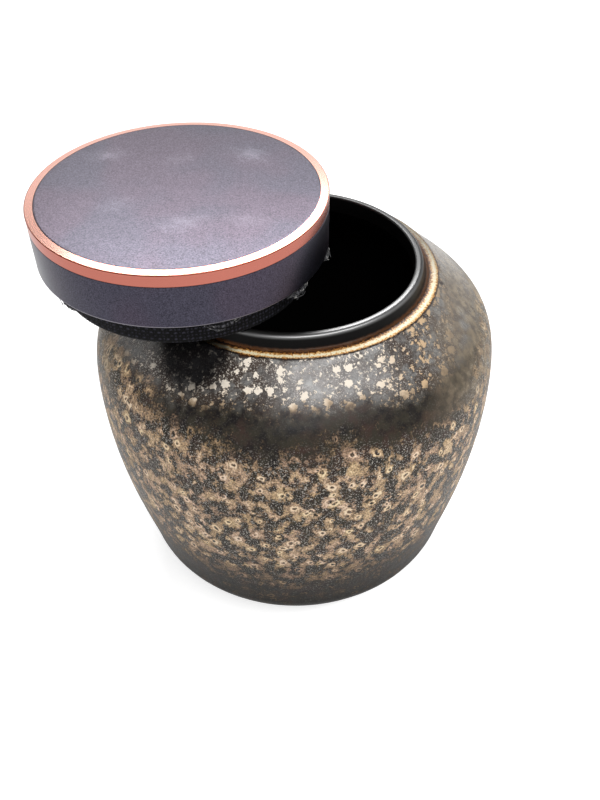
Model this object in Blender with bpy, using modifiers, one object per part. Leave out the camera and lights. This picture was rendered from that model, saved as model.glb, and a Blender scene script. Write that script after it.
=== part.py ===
# Ceramic tea caddy: a round stoneware jar with its push-in lid lying on the rim.
# Metres, +Z up. The origin is the centre of the jar's flat foot.
# The jar is one turned piece. The lid is a metal cap over a cloth-covered plug.

import math

import bpy

# Spaces and overruns
contact_gap = 0.0003        # between pieces that touch
weld_distance = 0.00001     # joins the points of a turned piece on its axis
smooth_angle = math.radians(38)

# Smoothness of the round pieces
jar_steps = 64
lid_steps = 64

# Jar: outer shape
jar_height = 0.1168         # foot to the top of the lip
belly_radius = 0.0651
belly_height = 0.0755
heel_inset = 0.0089         # how far the heel lies inside the belly
heel_height = 0.0136
heel_lean = math.radians(9.7)       # from upright
foot_inset = 0.0202         # from the heel in to the edge of the flat foot
shoulder_fall = math.radians(44.6)  # below level, where the shoulder leaves the ledge

# Jar: mouth
mouth_radius = 0.0375
lip_wall = 0.0026
lip_inner_round = 0.0007
lip_outer_round = 0.0012
collar_height = 0.0046      # the lip's top above the ledge
collar_flare = 0.0008       # how much wider the collar is at its foot
collar_fillet = 0.0016      # hollow curve at the collar's foot
ledge_width = 0.0041        # from the collar's foot out to the shoulder
neck_depth = 0.005          # straight inner wall below the lip's top
wall = 0.0045               # of the body and the floor

# How far each handle of the outline reaches, as a share of the stretch that it shapes
foot_handle_share = 0.32
heel_low_handle_share = 0.59
heel_high_handle_share = 0.21
belly_low_handle_share = 0.446
belly_high_handle_share = 0.66
shoulder_handle_share = 0.6
ledge_handle_share = 0.29
neck_handle_share = 0.45

# Lid: where it lies, from the jar's axis
lid_rest_x = -0.0318
lid_rest_y = -0.0066

# Lid: metal cap and its bright band
cap_height = 0.0165
cap_wall = 0.0012
cap_top_thickness = 0.0024
cap_edge_round = 0.0003
band_width = 0.00245        # seen from above
band_height = 0.0035        # seen from the side
band_wall = 0.0009
band_drop = 0.00026         # how much lower the band's outer edge is
band_edge_round = 0.00015

# Lid: plug
plug_projection = 0.01025   # below the cap
plug_play = 0.0003          # between the plug and the mouth
lip_play = 0.0001           # between the lip and the cloth inside the cap
plug_edge_round = 0.0015
plug_crown = 0.0004
cloth_thickness = 0.0008
foam_thickness = 0.002
pad_thickness = 0.0025
board_thickness = 0.004
glue_thickness = 0.0008
glue_margin = 0.004         # between the glue disc's edge and the board's edge

# Lid: cut edge of the cloth, which hangs out of the cap in a few places
hem_tuck = 0.0004           # the cut edge elsewhere lies this far up inside the cap
tail_flare = 0.0013         # how far the widest tail spreads out
tails = [                   # centre, half width, drop below the cap, share of the flare
    (math.radians(-134), math.radians(12), 0.0026, 0.3),
    (math.radians(-71), math.radians(13), 0.0032, 0.0),
    (math.radians(-36), math.radians(12), 0.0030, 0.4),
    (math.radians(-9), math.radians(11), 0.0028, 1.0),
]

# Worked out: jar
lip_outer_radius = mouth_radius + lip_wall
collar_radius = lip_outer_radius + collar_flare
ledge_radius = collar_radius + ledge_width
ledge_height = jar_height - collar_height
heel_radius = belly_radius - heel_inset
foot_radius = heel_radius - foot_inset

# Worked out: lid, in heights above the lowest point of the plug
lid_rest_z = jar_height + contact_gap
cloth_outer_leg_radius = lip_outer_radius + lip_play + cloth_thickness
cap_inner_radius = cloth_outer_leg_radius + contact_gap
cap_radius = cap_inner_radius + cap_wall
cap_bottom = plug_projection
cap_top = cap_bottom + cap_height
cap_ceiling = cap_top - cap_top_thickness
band_seat_radius = cap_radius - band_wall - contact_gap
band_seat_top = cap_top - band_wall - contact_gap
band_bottom = cap_top - band_drop - band_height
cap_step_radius = band_seat_radius - cap_wall
cap_step_height = band_bottom - contact_gap - cap_wall
glue_top = cap_ceiling - contact_gap
board_radius = cap_step_radius - contact_gap
board_top = glue_top - glue_thickness - contact_gap
board_bottom = board_top - board_thickness
plug_top = board_bottom - contact_gap
plug_radius = mouth_radius - plug_play
foam_radius = plug_radius - cloth_thickness - contact_gap
core_radius = foam_radius - foam_thickness - contact_gap
pad_bottom = cloth_thickness + contact_gap
pad_top = pad_bottom + plug_crown + pad_thickness
core_bottom = pad_top + contact_gap


def clear_scene():
    for item in list(bpy.data.objects):
        bpy.data.objects.remove(item)


def new_collection(name):
    collection = bpy.data.collections.new(name)
    bpy.context.scene.collection.children.link(collection)
    return collection


def new_material(name, colour, roughness, metallic):
    material = bpy.data.materials.new(name)
    material.use_nodes = True
    shader = material.node_tree.nodes["Principled BSDF"]
    shader.inputs["Base Color"].default_value = (*colour, 1)
    shader.inputs["Roughness"].default_value = roughness
    shader.inputs["Metallic"].default_value = metallic
    material.diffuse_color = (*colour, 1)
    return material


def bezier(start, start_handle, end_handle, end, pieces):
    """Points along a cubic curve, without its first one."""
    points = []
    for i in range(1, pieces + 1):
        t = i / pieces
        weights = ((1 - t) ** 3, 3 * t * (1 - t) ** 2, 3 * t * t * (1 - t), t ** 3)
        corners = (start, start_handle, end_handle, end)
        points.append(tuple(sum(w * c[k] for w, c in zip(weights, corners)) for k in (0, 1)))
    return points


def quarter(centre, radius, start, pieces):
    """Points on a clockwise quarter circle in the radius and height plane, from the angle start."""
    points = []
    for i in range(pieces + 1):
        angle = math.radians(start - 90 * i / pieces)
        points.append((centre[0] + radius * math.cos(angle), centre[1] + radius * math.sin(angle)))
    return points


def inside_of(points, distance):
    """The same line, moved to the right of its direction by the distance."""
    moved = []
    for i, (r, z) in enumerate(points):
        before = points[max(i - 1, 0)]
        after = points[min(i + 1, len(points) - 1)]
        along = math.hypot(after[0] - before[0], after[1] - before[1])
        step_r = (after[0] - before[0]) / along
        step_z = (after[1] - before[1]) / along
        moved.append((r + distance * step_z, z - distance * step_r))
    return moved


def body_line(shoulder_pieces, side_pieces, heel_pieces):
    """The jar's outer line from the ledge over the shoulder and belly down to the foot."""
    ledge = (ledge_radius, ledge_height)
    belly = (belly_radius, belly_height)
    heel = (heel_radius, heel_height)
    foot = (foot_radius, 0)
    shoulder_rise = ledge_height - belly_height
    shoulder_reach = shoulder_handle_share * shoulder_rise
    side_rise = belly_height - heel_height
    lean = (math.sin(heel_lean), math.cos(heel_lean))

    line = [ledge]
    line += bezier(
        ledge,
        (ledge[0] + shoulder_reach * math.cos(shoulder_fall),
         ledge[1] - shoulder_reach * math.sin(shoulder_fall)),
        (belly[0], belly[1] + belly_high_handle_share * shoulder_rise),
        belly, shoulder_pieces)
    line += bezier(
        belly,
        (belly[0], belly[1] - belly_low_handle_share * side_rise),
        (heel[0] + heel_high_handle_share * side_rise * lean[0],
         heel[1] + heel_high_handle_share * side_rise * lean[1]),
        heel, side_pieces)
    line += bezier(
        heel,
        (heel[0] - heel_low_handle_share * heel_height * lean[0],
         heel[1] - heel_low_handle_share * heel_height * lean[1]),
        (foot[0] + foot_handle_share * foot_inset, 0),
        foot, heel_pieces)
    return line


def turned_surface(name, line, steps, collection, closed=False):
    """The line turned about Z, shaded smooth between its edges. A closed line joins its ends."""
    mesh = bpy.data.meshes.new(name)
    edges = [(i, i + 1) for i in range(len(line) - 1)]
    if closed:
        edges.append((len(line) - 1, 0))
    mesh.from_pydata([(r, 0, z) for r, z in line], edges, [])
    draft = bpy.data.objects.new(name + "_line", mesh)
    collection.objects.link(draft)

    screw = draft.modifiers.new("Turn", "SCREW")
    screw.axis = "Z"
    screw.angle = 2 * math.pi
    screw.steps = steps
    screw.render_steps = steps
    screw.use_merge_vertices = True
    screw.merge_threshold = weld_distance

    evaluated = draft.evaluated_get(bpy.context.evaluated_depsgraph_get())
    surface = bpy.data.meshes.new_from_object(evaluated)
    bpy.data.objects.remove(draft)
    surface.name = name
    surface.shade_smooth()
    surface.set_sharp_from_angle(angle=smooth_angle)
    item = bpy.data.objects.new(name, surface)
    collection.objects.link(item)
    return item


def turned(name, line, steps, material, collection, parent=None, closed=False):
    """A solid turned about Z. Its line runs up the inner side and down the outer one."""
    solid = turned_surface(name, line, steps, collection, closed)
    solid.data.materials.append(material)
    solid.parent = parent
    return solid


def make_jar(collection):
    glaze = new_material("reactive_glaze", (0.12, 0.10, 0.08), 0.35, 0)
    outside = body_line(9, 8, 6)
    inside = inside_of(body_line(6, 6, 5), wall)
    inside.reverse()

    neck_foot = (mouth_radius, jar_height - neck_depth)
    neck_start = inside[-1]
    neck_run = neck_handle_share * (neck_foot[1] - neck_start[1])
    neck = bezier(
        neck_start,
        (neck_start[0] - neck_run * math.cos(shoulder_fall),
         neck_start[1] + neck_run * math.sin(shoulder_fall)),
        (neck_foot[0], neck_foot[1] - neck_run),
        neck_foot, 3)

    lip_inner = quarter(
        (mouth_radius + lip_inner_round, jar_height - lip_inner_round), lip_inner_round, 180, 2)
    lip_outer = quarter(
        (lip_outer_radius - lip_outer_round, jar_height - lip_outer_round), lip_outer_round, 90, 3)

    collar_foot = (collar_radius, ledge_height + collar_fillet)
    ledge = outside[0]
    ledge_run = ledge_handle_share * ledge_width
    hollow = bezier(
        collar_foot,
        (collar_radius, ledge_height),
        (ledge[0] - ledge_run * math.cos(shoulder_fall),
         ledge[1] + ledge_run * math.sin(shoulder_fall)),
        ledge, 5)

    line = [(0, wall)] + inside + neck + lip_inner + lip_outer
    line += [collar_foot] + hollow + outside[1:] + [(0, 0)]
    return turned("jar_body", line, jar_steps, glaze, collection)


def make_cap_shell(collection, parent):
    metal = new_material("sandblasted_anodised_cap", (0.17, 0.14, 0.19), 0.45, 1)
    panel_radius = cap_radius - band_width - contact_gap
    band_foot = band_bottom - contact_gap
    line = [
        (0, cap_ceiling),
        (cap_step_radius, cap_ceiling),
        (cap_step_radius, cap_step_height),
        (cap_inner_radius, cap_step_height),
        (cap_inner_radius, cap_bottom),
    ]
    line.reverse()
    shell = [
        (0, cap_top),
        (panel_radius, cap_top),
        (panel_radius, band_seat_top),
        (band_seat_radius, band_seat_top),
        (band_seat_radius, band_foot),
        (cap_radius - cap_edge_round, band_foot),
        (cap_radius, band_foot - cap_edge_round),
        (cap_radius, cap_bottom + cap_edge_round),
        (cap_radius - cap_edge_round, cap_bottom),
    ]
    line = shell + line
    return turned("cap_shell", line, lid_steps, metal, collection, parent)


def make_rim_band(collection, parent):
    metal = new_material("rose_gold_band", (0.72, 0.32, 0.24), 0.25, 1)
    inner = cap_radius - band_width
    outer_top = cap_top - band_drop
    line = [
        (inner, cap_top - band_wall),
        (inner, cap_top),
        (cap_radius - band_edge_round, outer_top),
        (cap_radius, outer_top - band_edge_round),
        (cap_radius, band_bottom),
        (cap_radius - band_wall, band_bottom),
        (cap_radius - band_wall, cap_top - band_wall),
    ]
    return turned("rim_band", line, lid_steps, metal, collection, parent, closed=True)


def make_disc(name, radius, bottom, top, material, collection, parent):
    line = [(0, top), (radius, top), (radius, bottom), (0, bottom)]
    return turned(name, line, lid_steps, material, collection, parent)


def make_fillers(collection, parent):
    glue = new_material("glue", (0.75, 0.72, 0.62), 0.5, 0)
    wood = new_material("pressed_board", (0.45, 0.30, 0.17), 0.7, 0)
    foam = new_material("white_foam", (0.82, 0.82, 0.80), 0.9, 0)
    make_disc("glue_disc", board_radius - glue_margin, glue_top - glue_thickness, glue_top,
              glue, collection, parent)
    make_disc("backing_board", board_radius, board_bottom, board_top, wood, collection, parent)
    make_disc("plug_core", core_radius, core_bottom, plug_top, wood, collection, parent)

    sleeve = [
        (foam_radius - foam_thickness, core_bottom),
        (foam_radius - foam_thickness, plug_top),
        (foam_radius, plug_top),
        (foam_radius, core_bottom),
    ]
    turned("foam_sleeve", sleeve, lid_steps, foam, collection, parent, closed=True)

    pad_flat_radius = plug_radius - plug_edge_round
    pad = [
        (0, pad_top),
        (foam_radius, pad_top),
        (foam_radius, pad_bottom + plug_crown + plug_edge_round - cloth_thickness),
        (pad_flat_radius, pad_bottom + plug_crown),
        (pad_flat_radius / 2, pad_bottom + plug_crown / 4),
        (0, pad_bottom),
    ]
    turned("foam_pad", pad, lid_steps, foam, collection, parent)


def tail_shape(angle):
    """How far the cloth's cut edge hangs out of the cap here, and how far it spreads."""
    drop = -hem_tuck
    spread = 0
    for centre, half_width, tail_drop, flare_share in tails:
        away = abs(math.remainder(angle - centre, 2 * math.pi)) / half_width
        if away < 1:
            height = math.cos(away * math.pi / 2) ** 2
            drop += (tail_drop + hem_tuck) * height
            spread += flare_share * tail_flare * height
    return drop, spread


def make_plug_cloth(collection, parent):
    """A cup of cloth round the plug. Its edge turns out under the board and down inside the cap."""
    cloth = new_material("black_linen", (0.012, 0.012, 0.014), 0.9, 0)
    half = cloth_thickness / 2
    side = plug_radius - half
    flat_radius = plug_radius - plug_edge_round
    corner = plug_edge_round - half
    top = plug_top - half
    outer_leg = cloth_outer_leg_radius - half
    turn = (outer_leg - side) / 4
    cut_edge = cap_bottom

    # middle of the cloth, from its cut edge over the turn and down to the plug's bottom
    line = [(outer_leg, cut_edge + (top - turn - cut_edge) * share) for share in (0, 0.2, 0.5, 1)]
    line += [(outer_leg - turn, top), (side + turn, top), (side, top - turn)]
    line += [(side, half + plug_crown + corner + (top - turn) * share) for share in (0.45, 0.2)]
    line += quarter((flat_radius, half + plug_crown + corner), corner, 0, 3)
    line += [(flat_radius * share, half + plug_crown * share ** 2) for share in (0.66, 0.33, 0)]

    sheet = turned_surface("plug_cloth", line, lid_steps, collection)

    # the tails: the outer leg is longer there, and spreads where it has left the cap
    leg_top = top - turn
    for vertex in sheet.data.vertices:
        x, y, z = vertex.co
        radius = math.hypot(x, y)
        if radius > outer_leg - turn / 2 and z < leg_top:
            drop, spread = tail_shape(math.atan2(y, x))
            lower = z - drop * (leg_top - z) / (leg_top - cut_edge)
            hanging = max(cap_bottom - contact_gap - lower, 0)
            wider = 1 + spread * hanging / max(drop, hem_tuck) / radius
            vertex.co = (x * wider, y * wider, lower)

    solid = sheet.modifiers.new("Thickness", "SOLIDIFY")
    solid.thickness = cloth_thickness
    solid.offset = 0
    solid.use_even_offset = True
    solid.use_quality_normals = True
    sheet.data.materials.append(cloth)
    sheet.parent = parent
    return sheet


def main():
    clear_scene()
    caddy = new_collection("tea_caddy")
    make_jar(caddy)

    lid_axis = bpy.data.objects.new("lid_axis", None)
    lid_axis.location = (lid_rest_x, lid_rest_y, lid_rest_z)
    caddy.objects.link(lid_axis)
    make_cap_shell(caddy, lid_axis)
    make_rim_band(caddy, lid_axis)
    make_fillers(caddy, lid_axis)
    make_plug_cloth(caddy, lid_axis)


main()
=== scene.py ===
import math
import random
from functools import partial

import bpy
import numpy as np
from mathutils import Matrix, Vector, noise


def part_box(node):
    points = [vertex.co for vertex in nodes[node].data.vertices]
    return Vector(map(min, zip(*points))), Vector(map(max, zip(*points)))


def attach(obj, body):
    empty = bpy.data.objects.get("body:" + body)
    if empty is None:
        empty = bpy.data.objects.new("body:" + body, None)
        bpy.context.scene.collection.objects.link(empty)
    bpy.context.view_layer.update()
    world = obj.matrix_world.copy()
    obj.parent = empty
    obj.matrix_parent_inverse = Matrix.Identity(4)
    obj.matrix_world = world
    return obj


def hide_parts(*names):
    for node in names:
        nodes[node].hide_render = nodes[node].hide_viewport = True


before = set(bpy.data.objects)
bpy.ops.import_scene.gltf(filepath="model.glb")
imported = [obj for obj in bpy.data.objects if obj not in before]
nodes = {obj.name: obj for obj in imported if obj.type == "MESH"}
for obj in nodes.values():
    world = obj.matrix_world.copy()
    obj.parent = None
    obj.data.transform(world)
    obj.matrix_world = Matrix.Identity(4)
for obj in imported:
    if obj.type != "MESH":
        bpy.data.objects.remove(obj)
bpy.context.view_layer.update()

mm = 0.001
turn = 2 * math.pi


def toLinear(hexColour):
    # sRGB hex to the linear numbers that shaders use
    parts = [int(hexColour[i:i + 2], 16) / 255 for i in (1, 3, 5)]
    return (*[p / 12.92 if p <= 0.04045 else ((p + 0.055) / 1.055) ** 2.4 for p in parts], 1)


# kinds of nodes with the settings that many of them share
smooth = ("MapRange", {"interpolation_type": "SMOOTHSTEP"})
mix = ("Mix", {"data_type": "RGBA"})
tint = ("Mix", {"data_type": "RGBA", "blend_type": "MULTIPLY"})
mixNumbers = ("Mix", {"data_type": "FLOAT"})
plus = ("Math", {"operation": "ADD"})
minus = ("Math", {"operation": "SUBTRACT"})
times = ("Math", {"operation": "MULTIPLY"})
timesPlus = ("Math", {"operation": "MULTIPLY_ADD"})
timesPlusClamped = ("Math", {"operation": "MULTIPLY_ADD", "use_clamp": True})
over = ("Math", {"operation": "DIVIDE"})
sizeOf = ("Math", {"operation": "ABSOLUTE"})
sine = ("Math", {"operation": "SINE"})
larger = ("Math", {"operation": "MAXIMUM"})
vectorMinus = ("VectorMath", {"operation": "SUBTRACT"})
vectorTimes = ("VectorMath", {"operation": "MULTIPLY"})
vectorTimesPlus = ("VectorMath", {"operation": "MULTIPLY_ADD"})
scaled = ("VectorMath", {"operation": "SCALE"})
lengthOf = ("VectorMath", {"operation": "LENGTH"})


def feed(node, inputs):
    # numbers, hex colours and links for a node, by name or as a tuple in the order of the sockets in use
    sockets = [s for s in node.inputs if s.enabled]
    if isinstance(inputs, dict):
        sockets = [next(s for s in sockets if s.name == name) for name in inputs]
        inputs = inputs.values()
    for socket, value in zip(sockets, inputs):
        if isinstance(value, bpy.types.Node):
            value = next(s for s in value.outputs if s.enabled)
        if isinstance(value, bpy.types.NodeSocket):
            node.id_data.links.new(value, socket)
        else:
            socket.default_value = toLinear(value) if isinstance(value, str) else value


def addNode(tree, kind, inputs=()):
    # one node of a kind, or of a kind with settings, with its colour stops and what feeds it
    kind, settings = (kind, {}) if isinstance(kind, str) else kind
    node = tree.nodes.new("ShaderNode" + kind)
    for name, value in settings.items():
        if name != "stops":
            setattr(node, name, value)
            continue
        while len(node.color_ramp.elements) < len(value):
            node.color_ramp.elements.new(1)
        for element, (position, hexColour) in zip(node.color_ramp.elements, value):
            element.position = position
            element.color = toLinear(hexColour)
    feed(node, inputs)
    return node


def newMaterial(name, inputs):
    # a material, a short way to add nodes to it, its shader, and the place on the object in millimetres;
    # the shader's own sockets hold what is the same all over
    material = bpy.data.materials.new(name)
    material.use_nodes = True
    shader = material.node_tree.nodes["Principled BSDF"]
    feed(shader, inputs)
    add = partial(addNode, material.node_tree)
    place = add(scaled, (add("TexCoord").outputs["Object"], 1 / mm))
    return material, add, shader, place


def bezierLine(start, startHandle, endHandle, end, count):
    # points along a cubic curve, without its first one
    points = []
    for i in range(1, count + 1):
        t = i / count
        weights = ((1 - t) ** 3, 3 * t * (1 - t) ** 2, 3 * t * t * (1 - t), t ** 3)
        corners = (start, startHandle, endHandle, end)
        points.append(tuple(sum(w * c[k] for w, c in zip(weights, corners)) for k in (0, 1)))
    return points


def quarterRound(centre, radius, startAngle, count):
    # a clockwise quarter circle in the radius and height plane
    angles = [math.radians(startAngle - 90 * i / count) for i in range(count + 1)]
    return [(centre[0] + radius * math.cos(a), centre[1] + radius * math.sin(a)) for a in angles]


def evenSteps(low, high, step):
    # heights or radii from low to high, both included, about a step apart
    count = max(1, round(abs(high - low) / step))
    return [low + (high - low) * i / count for i in range(count + 1)]


def spinOutline(name, line, axis, steps, sharpAngle=30):
    # a plane merged to one point, extruded along the outline and spun round the axis
    bpy.ops.object.select_all(action="DESELECT")
    first = line[0]
    bpy.ops.mesh.primitive_plane_add(size=mm, location=(axis[0] + first[0], axis[1], first[1]))
    piece = bpy.context.object
    piece.name = piece.data.name = name
    bpy.ops.object.transform_apply(location=True, rotation=False, scale=False)
    bpy.ops.object.mode_set(mode="EDIT")
    bpy.ops.mesh.select_all(action="SELECT")
    bpy.ops.mesh.merge(type="CENTER")
    for before, after in zip(line, line[1:]):
        step = (after[0] - before[0], 0, after[1] - before[1])
        bpy.ops.mesh.extrude_region_move(TRANSFORM_OT_translate={"value": step})
    bpy.ops.mesh.select_all(action="SELECT")
    bpy.ops.mesh.spin(steps=steps, angle=turn, center=(axis[0], axis[1], 0), axis=(0, 0, 1))
    bpy.ops.mesh.select_all(action="SELECT")
    bpy.ops.mesh.remove_doubles(threshold=0.004 * mm)
    bpy.ops.mesh.normals_make_consistent(inside=False)
    bpy.ops.object.mode_set(mode="OBJECT")
    bpy.ops.object.shade_smooth_by_angle(angle=math.radians(sharpAngle))
    return piece


def newItem(name, data):
    item = bpy.data.objects.new(name, data)
    bpy.context.scene.collection.objects.link(item)
    return item


def selectOnly(piece):
    bpy.ops.object.select_all(action="DESELECT")
    piece.select_set(True)
    bpy.context.view_layer.objects.active = piece


def applyModifiers(piece):
    selectOnly(piece)
    for modifier in list(piece.modifiers):
        bpy.ops.object.modifier_apply(modifier=modifier.name)


# the photograph looks down at the rim from close by, turned a little about its own axis
camera = {
    "eye": (1.57 * mm, -224.5 * mm, 264.2 * mm),
    "tip": 47.171,         # degrees up from straight down
    "roll": -0.8,
    "lens": 38.74,         # mm on a 36 mm sensor, along the picture's long side
}


def placeCamera():
    data = bpy.data.cameras.new("photoCamera")
    data.sensor_width = 36
    data.lens = camera["lens"]
    data.clip_start = 0.01
    item = newItem("photoCamera", data)
    item.matrix_world = (Matrix.Translation(camera["eye"])
                         @ Matrix.Rotation(math.radians(camera["tip"]), 4, "X")
                         @ Matrix.Rotation(math.radians(camera["roll"]), 4, "Z"))
    bpy.context.scene.camera = item


placeCamera()
print("camera placed")


studio = {
    "sweepRadius": 2.4, "sweepCorner": 0.4, "sweepHeight": 1.5,
    "paper": "#d8d8d8", "fibre": 1.2,    # mm
    "seenLift": 0.56,             # added for the camera, so that the paper is white behind the object
    "mirroredFloorLift": 0.15,    # and for reflections in glaze and metal
    "mirroredWallLift": 0.52,
    "paperGlow": 0.12,
    "world": 0.26,
}

# soft boxes: name, place, what they point at, width and depth, power in watts
softBoxes = [
    ("backSoftbox", (-0.01, 0.76, 0.805), (0, 0, 0.12), 0.74, 0.23, 6.9),
    ("frontStripbox", (0.33, -0.56, 0.97), (0, 0, 0.1), 1.20, 0.22, 8.2),
]


def addSweep():
    # round sweep of white paper, floor and wall in one, so that every side has the same background
    material, add, shader, place = newMaterial("whiteSweepPaper", {
        "Roughness": 0.9, "Specular IOR Level": 0.1, "Emission Color": "#ffffff"})
    fibre = add("TexNoise", {"Vector": place, "Scale": 1 / studio["fibre"], "Detail": 2})
    shade = add("MapRange", (fibre, 0, 1, 0.99, 1.01))
    colour = add(scaled, (toLinear(studio["paper"])[:3], shade))
    ray = add("LightPath")
    mirrored = add(larger, (ray.outputs["Is Glossy Ray"], ray.outputs["Is Transmission Ray"]))
    height = add("SeparateXYZ", (place,)).outputs["Z"]
    mirroredLift = add(smooth, (height, 0, 500, studio["mirroredFloorLift"], studio["mirroredWallLift"]))
    lift = add(timesPlus, (mirrored, mirroredLift, studio["paperGlow"]))
    lift = add(timesPlus, (ray.outputs["Is Camera Ray"], studio["seenLift"], lift))
    feed(shader, {"Base Color": colour, "Emission Strength": lift})

    radius, corner, height = studio["sweepRadius"], studio["sweepCorner"], studio["sweepHeight"]
    line = [(0, 0), (0.4, 0), (1.0, 0), (radius - corner, 0)]
    bend = quarterRound((radius - corner, corner), corner, 90, 8)
    line += [(r, 2 * corner - z) for r, z in bend[1:]]
    line += [(radius, height)]
    sweep = spinOutline("studioSweep", line, (0, 0), 64, 60)
    sweep.data.materials.append(material)


def lightWorld():
    world = bpy.data.worlds.new("dimStudio")
    bpy.context.scene.world = world
    world.use_nodes = True
    background = world.node_tree.nodes["Background"]
    feed(background, {"Color": "#ffffff", "Strength": studio["world"]})


def addSoftBoxes():
    for name, place, target, width, depth, power in softBoxes:
        light = bpy.data.lights.new(name, "AREA")
        light.shape = "RECTANGLE"
        light.size, light.size_y = width, depth
        light.energy = power
        item = newItem(name, light)
        item.location = place
        item.rotation_euler = (Vector(target) - Vector(place)).to_track_quat("-Z", "Y").to_euler()


addSweep()
lightWorld()
addSoftBoxes()
view = bpy.context.scene.view_settings
view.view_transform = "Standard"
print("sweep, world and soft boxes ready")


jar = {
    "height": 116.8 * mm,
    "bellyRadius": 65.1 * mm, "bellyHeight": 75.5 * mm,
    "heelRadius": 56.2 * mm, "heelHeight": 13.6 * mm, "heelLean": math.radians(9.7),
    "footRadius": 36.0 * mm,
    "shoulderFall": math.radians(44.6),
    "mouthRadius": 37.5 * mm, "lipWall": 2.6 * mm,
    "lipInnerRound": 0.7 * mm, "lipOuterRound": 1.2 * mm,
    "collarHeight": 4.6 * mm, "collarFlare": 0.8 * mm, "collarFillet": 1.6 * mm,
    "ledgeWidth": 4.1 * mm, "neckDepth": 5.0 * mm, "wall": 4.5 * mm,
    "steps": 256,
    "wobble": 0.10 * mm,      # unevenness of a hand-finished pot
    "wobbleSize": 24 * mm,
    "glazeRelief": 0.035 * mm,
    "glazeReliefSize": 2.4 * mm,
}


def jarSide(shoulderCount, sideCount, heelCount):
    # outer line from the ledge over the shoulder and belly down to the flat foot
    ledge = (jar["mouthRadius"] + jar["lipWall"] + jar["collarFlare"] + jar["ledgeWidth"],
             jar["height"] - jar["collarHeight"])
    belly = (jar["bellyRadius"], jar["bellyHeight"])
    heel = (jar["heelRadius"], jar["heelHeight"])
    foot = (jar["footRadius"], 0)
    fall, lean = jar["shoulderFall"], jar["heelLean"]
    rise, side = ledge[1] - belly[1], belly[1] - heel[1]
    line = [ledge]
    line += bezierLine(ledge,
                       (ledge[0] + 0.6 * rise * math.cos(fall), ledge[1] - 0.6 * rise * math.sin(fall)),
                       (belly[0], belly[1] + 0.66 * rise), belly, shoulderCount)
    line += bezierLine(belly, (belly[0], belly[1] - 0.446 * side),
                       (heel[0] + 0.21 * side * math.sin(lean), heel[1] + 0.21 * side * math.cos(lean)),
                       heel, sideCount)
    line += bezierLine(heel,
                       (heel[0] - 0.59 * heel[1] * math.sin(lean), heel[1] - 0.59 * heel[1] * math.cos(lean)),
                       (foot[0] + 0.32 * (heel[0] - foot[0]), 0), foot, heelCount)
    return line


def offsetLine(line, distance):
    # the same line moved to the right of its direction
    moved = []
    for i, (r, z) in enumerate(line):
        before, after = line[max(i - 1, 0)], line[min(i + 1, len(line) - 1)]
        run = math.hypot(after[0] - before[0], after[1] - before[1])
        moved.append((r + distance * (after[1] - before[1]) / run,
                      z - distance * (after[0] - before[0]) / run))
    return moved


def jarOutline():
    # from the middle of the inner floor up to the lip, over it and down to the middle of the foot
    outside = jarSide(34, 42, 16)
    inside = offsetLine(jarSide(20, 24, 12), jar["wall"])
    inside.reverse()
    lipOuter = jar["mouthRadius"] + jar["lipWall"]
    collar = lipOuter + jar["collarFlare"]
    neckFoot = (jar["mouthRadius"], jar["height"] - jar["neckDepth"])
    start = inside[-1]
    run = 0.45 * (neckFoot[1] - start[1])
    fall = jar["shoulderFall"]
    neck = bezierLine(start, (start[0] - run * math.cos(fall), start[1] + run * math.sin(fall)),
                      (neckFoot[0], neckFoot[1] - run), neckFoot, 8)
    inRound, outRound = jar["lipInnerRound"], jar["lipOuterRound"]
    innerRound = quarterRound((jar["mouthRadius"] + inRound, jar["height"] - inRound), inRound, 180, 6)
    outerRound = quarterRound((lipOuter - outRound, jar["height"] - outRound), outRound, 90, 7)
    ledge = outside[0]
    collarFoot = (collar, ledge[1] + jar["collarFillet"])
    run = 0.29 * jar["ledgeWidth"]
    hollow = bezierLine(collarFoot, (collar, ledge[1]),
                        (ledge[0] - run * math.cos(fall), ledge[1] + run * math.sin(fall)), ledge, 12)
    floorRings = [(r, jar["wall"]) for r in evenSteps(0, inside[0][0] - 4 * mm, 8 * mm)]
    footRings = [(r, 0) for r in evenSteps(outside[-1][0], 0, 9 * mm)][1:]
    line = floorRings + inside + neck + innerRound + outerRound
    line += [collarFoot] + hollow + outside[1:] + footRings
    marks = {"collarFoot": collarFoot, "ledge": ledge, "lipTop": innerRound[-1]}
    return line, marks


def makeJar():
    line, marks = jarOutline()
    reach = [0.0]             # length along the outline, from the middle of the inner floor
    for before, after in zip(line, line[1:]):
        reach.append(reach[-1] + math.dist(before, after))
    at = {name: reach[line.index(point)] for name, point in marks.items()}
    piece = spinOutline("glazed_jar", line, (0, 0), jar["steps"], 50)

    # each point keeps its length along the outline, which tells inside, collar, ledge and body apart
    places = np.array([v.co for v in piece.data.vertices])
    flat = np.stack([np.hypot(places[:, 0], places[:, 1]), places[:, 2]], axis=1)
    outline = np.array(line)
    nearest = np.array([((outline - p) ** 2).sum(axis=1).argmin() for p in flat])
    along = piece.data.attributes.new("along", "FLOAT", "POINT")
    along.data.foreach_set("value", (np.array(reach)[nearest] / mm).astype(np.float32))

    # slight unevenness of the outer face, none at the lip, the ledge or the foot
    normals = [v.normal.copy() for v in piece.data.vertices]
    low, high = 3 * mm, 108 * mm
    for i, vertex in enumerate(piece.data.vertices):
        if reach[nearest[i]] < at["ledge"] or not low < vertex.co.z < high:
            continue
        fade = min((vertex.co.z - low) / (12 * mm), (high - vertex.co.z) / (8 * mm), 1)
        wide = noise.noise(vertex.co / jar["wobbleSize"])
        fine = noise.noise(vertex.co / jar["glazeReliefSize"] + Vector((7, 3, 5)))
        vertex.co += normals[i] * fade * (jar["wobble"] * wide + jar["glazeRelief"] * fine)
    return piece, {name: value / mm for name, value in at.items()}


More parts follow.
